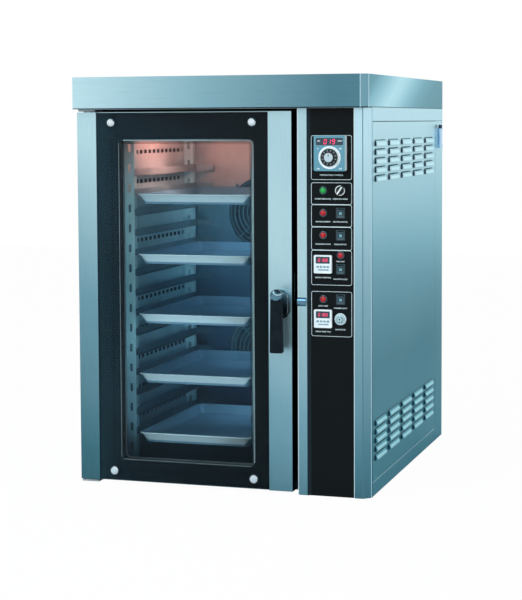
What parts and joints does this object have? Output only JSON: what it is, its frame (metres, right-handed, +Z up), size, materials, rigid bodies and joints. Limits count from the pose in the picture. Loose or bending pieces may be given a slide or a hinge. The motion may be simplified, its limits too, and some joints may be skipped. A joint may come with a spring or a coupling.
{
  "type": "convection bakery oven",
  "caption": "Upright electric bakery oven in brushed stainless steel with a tall glazed door, rails full of trays, a black control column, a lever handle and a louvred side cover.",
  "frame": {"origin": "centre of the underside, halfway across the casing and halfway from the front face to the back cover", "axes": "+Z up, -Y towards the door and the controls, +X towards the control column and the louvred side"},
  "size_m": [1.009, 1.2203, 1.34],
  "materials": {
    "stainless": "brushed, satin",
    "galvanised": "plain sheet",
    "chamber_steel": "satin, a little smoked",
    "black_panel": "satin black",
    "mineral_wool": "matt fibre",
    "tray_aluminium": "satin",
    "guard_wire": "bright wire",
    "fan_metal": "satin",
    "motor_paint": "enamelled",
    "heater_metal": "heat-darkened",
    "lens_glass": "clear",
    "dark_glass": "lightly tinted",
    "clear_glass": "clear",
    "black_enamel": "glossy black, fired on",
    "holder_chrome": "polished",
    "gasket_rubber": "matt",
    "bush_brass": "plain",
    "handle_black": "satin black",
    "handle_chrome": "polished",
    "controller_plastic": "light grey sides, black front",
    "knob_black": "black with a silver cap",
    "knob_silver": "satin",
    "timer_plastic": "white with a black window",
    "fitting_black": "satin",
    "lamp_red": "translucent",
    "lamp_green": "translucent",
    "rocker_plastic": "satin",
    "bolt_steel": "satin",
    "bolt_dark": "dark blue-black"
  },
  "bodies": {
    "cabinet": {"base_pan": "galvanised", "left_side_panel": "stainless", "right_side_frame": "stainless", "louvred_side_cover": "stainless", "top_cover": "galvanised", "back_cover": "stainless", "canopy": "stainless", "front_frame": "stainless", "latch_strip": "stainless", "control_panel": "black_panel", "corner_pillar": "stainless", "inner_walls": "galvanised", "chamber_liner": "chamber_steel", "insulation": "mineral_wool", "left_air_duct": "chamber_steel", "right_air_duct": "chamber_steel", "rack_posts": "chamber_steel", "left_rails": "chamber_steel", "right_rails": "chamber_steel", "fan_baffle": "chamber_steel", "fan_guards": "guard_wire", "fan_motors": "motor_paint", "heating_elements": "heater_metal", "lamp_housing": "chamber_steel", "lamp_lens": "lens_glass", "door_gasket": "gasket_rubber", "hinge_brackets": "galvanised", "latch_keeper": "handle_chrome", "temperature_controller": "controller_plastic", "timers": "timer_plastic", "panel_fittings": "fitting_black", "red_lamps": "lamp_red", "green_lamp": "lamp_green", "bolt_housing": "bolt_steel"},
    "door": {"door_frame": "stainless", "door_inner_panel": "chamber_steel", "outer_glass": "dark_glass", "glass_enamel": "black_enamel", "inner_glass": "clear_glass", "glazing_frame": "chamber_steel", "glass_holders": "holder_chrome", "hinge_bushes": "bush_brass", "handle_rose": "handle_black"},
    "handle": {"handle_spindle": "handle_chrome", "handle_grip": "handle_black"},
    "tray_1": {"tray_1": "tray_aluminium"},
    "tray_2": {"tray_2": "tray_aluminium"},
    "tray_3": {"tray_3": "tray_aluminium"},
    "tray_4": {"tray_4": "tray_aluminium"},
    "tray_5": {"tray_5": "tray_aluminium"},
    "upper_fan": {"upper_fan": "fan_metal"},
    "lower_fan": {"lower_fan": "fan_metal"},
    "temperature_dial": {"temperature_dial": "knob_black"},
    "selector_knob": {"selector_knob": "knob_black"},
    "small_knob": {"small_knob": "knob_silver"},
    "rocker_1": {"rocker_1": "rocker_plastic"},
    "rocker_2": {"rocker_2": "rocker_plastic"},
    "rocker_3": {"rocker_3": "rocker_plastic"},
    "rocker_4": {"rocker_4": "rocker_plastic"},
    "side_bolt": {"side_bolt": "bolt_dark"}
  },
  "joints": [
    {"name": "door_swing", "type": "hinge", "parent": "cabinet", "child": "door", "pos_m": [-0.473, -0.55, 0], "axis": [0, 0, -1], "range_deg": [0, 120]},
    {"name": "handle_turn", "type": "hinge", "parent": "door", "child": "handle", "pos_m": [0.205, -0.57, 0.646], "axis": [0, 1, 0], "range_deg": [0, 90]},
    {"name": "tray_1_slide", "type": "slide", "parent": "cabinet", "child": "tray_1", "axis": [0, -1, 0], "range_m": [0, 0.025]},
    {"name": "tray_2_slide", "type": "slide", "parent": "cabinet", "child": "tray_2", "axis": [0, -1, 0], "range_m": [0, 0.025]},
    {"name": "tray_3_slide", "type": "slide", "parent": "cabinet", "child": "tray_3", "axis": [0, -1, 0], "range_m": [0, 0.025]},
    {"name": "tray_4_slide", "type": "slide", "parent": "cabinet", "child": "tray_4", "axis": [0, -1, 0], "range_m": [0, 0.025]},
    {"name": "tray_5_slide", "type": "slide", "parent": "cabinet", "child": "tray_5", "axis": [0, -1, 0], "range_m": [0, 0.025]},
    {"name": "upper_fan_spin", "type": "hinge", "parent": "cabinet", "child": "upper_fan", "pos_m": [-0.0875, -0.57, 0.86], "axis": [0, 1, 0], "continuous": true},
    {"name": "lower_fan_spin", "type": "hinge", "parent": "cabinet", "child": "lower_fan", "pos_m": [-0.0875, -0.57, 0.36], "axis": [0, 1, 0], "continuous": true},
    {"name": "temperature_dial_turn", "type": "hinge", "parent": "cabinet", "child": "temperature_dial", "pos_m": [0.37, -0.57, 1.08], "axis": [0, 1, 0], "range_deg": [0, 300]},
    {"name": "selector_turn", "type": "hinge", "parent": "cabinet", "child": "selector_knob", "pos_m": [0.39925, -0.57, 0.976], "axis": [0, 1, 0], "range_deg": [0, 90]},
    {"name": "small_knob_turn", "type": "hinge", "parent": "cabinet", "child": "small_knob", "pos_m": [0.39925, -0.57, 0.57], "axis": [0, 1, 0], "range_deg": [0, 300]},
    {"name": "rocker_1_tilt", "type": "hinge", "parent": "cabinet", "child": "rocker_1", "pos_m": [0.39925, -0.562, 0.905], "axis": [-1, 0, 0], "range_deg": [0, 16]},
    {"name": "rocker_2_tilt", "type": "hinge", "parent": "cabinet", "child": "rocker_2", "pos_m": [0.39925, -0.562, 0.835], "axis": [-1, 0, 0], "range_deg": [0, 16]},
    {"name": "rocker_3_tilt", "type": "hinge", "parent": "cabinet", "child": "rocker_3", "pos_m": [0.39925, -0.562, 0.728], "axis": [-1, 0, 0], "range_deg": [0, 16]},
    {"name": "rocker_4_tilt", "type": "hinge", "parent": "cabinet", "child": "rocker_4", "pos_m": [0.39925, -0.562, 0.632], "axis": [-1, 0, 0], "range_deg": [0, 16]},
    {"name": "side_bolt_slide", "type": "slide", "parent": "cabinet", "child": "side_bolt", "axis": [0, 0, 1], "range_m": [0, 0.014]}
  ]
}
